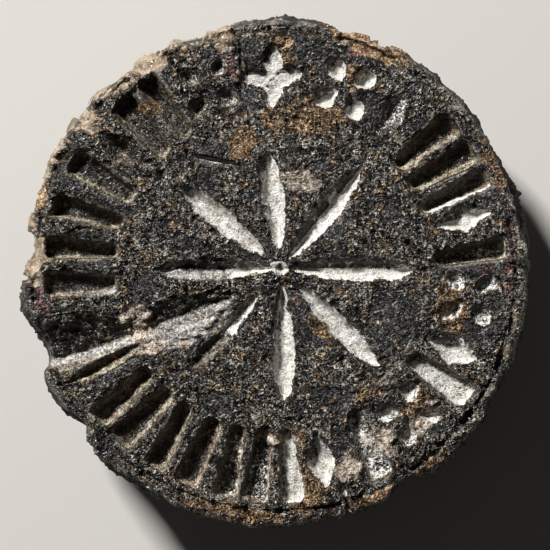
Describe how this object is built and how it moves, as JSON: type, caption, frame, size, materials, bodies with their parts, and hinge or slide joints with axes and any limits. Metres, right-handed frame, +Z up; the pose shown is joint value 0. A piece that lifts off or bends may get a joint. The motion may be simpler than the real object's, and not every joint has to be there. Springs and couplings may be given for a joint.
{
  "type": "seal matrix",
  "caption": "Round cast lead seal matrix with a star and border cut into its face, a pierced ridge soldered on the back and a wire hanging ring.",
  "frame": {"origin": "middle of the grip's foot, on the surface that the matrix lies on, under the middle of the disc", "axes": "+Z up, out of the cut face; +Y toward the top of the design, where the cross and the hanging ring are; +X to the right of the face"},
  "size_m": [0.0342, 0.0344, 0.0082],
  "materials": {
    "cast_lead": "dark pitted patina on lead, chalky white in the cuts and worn pale at the rim",
    "handle_lead": "dull grey cast lead, handled smooth along its foot",
    "ring_iron": "rust-brown corroded iron wire"
  },
  "bodies": {
    "matrix": {"matrix_disc": "cast_lead", "back_handle": "handle_lead"},
    "ring": {"suspension_ring": "ring_iron"}
  },
  "joints": [
    {"name": "ring_swing", "type": "hinge", "parent": "matrix", "child": "ring", "pos_m": [0, 0.00755, 0.0021], "axis": [-1, 0, 0], "range_deg": [-19, 151]}
  ]
}
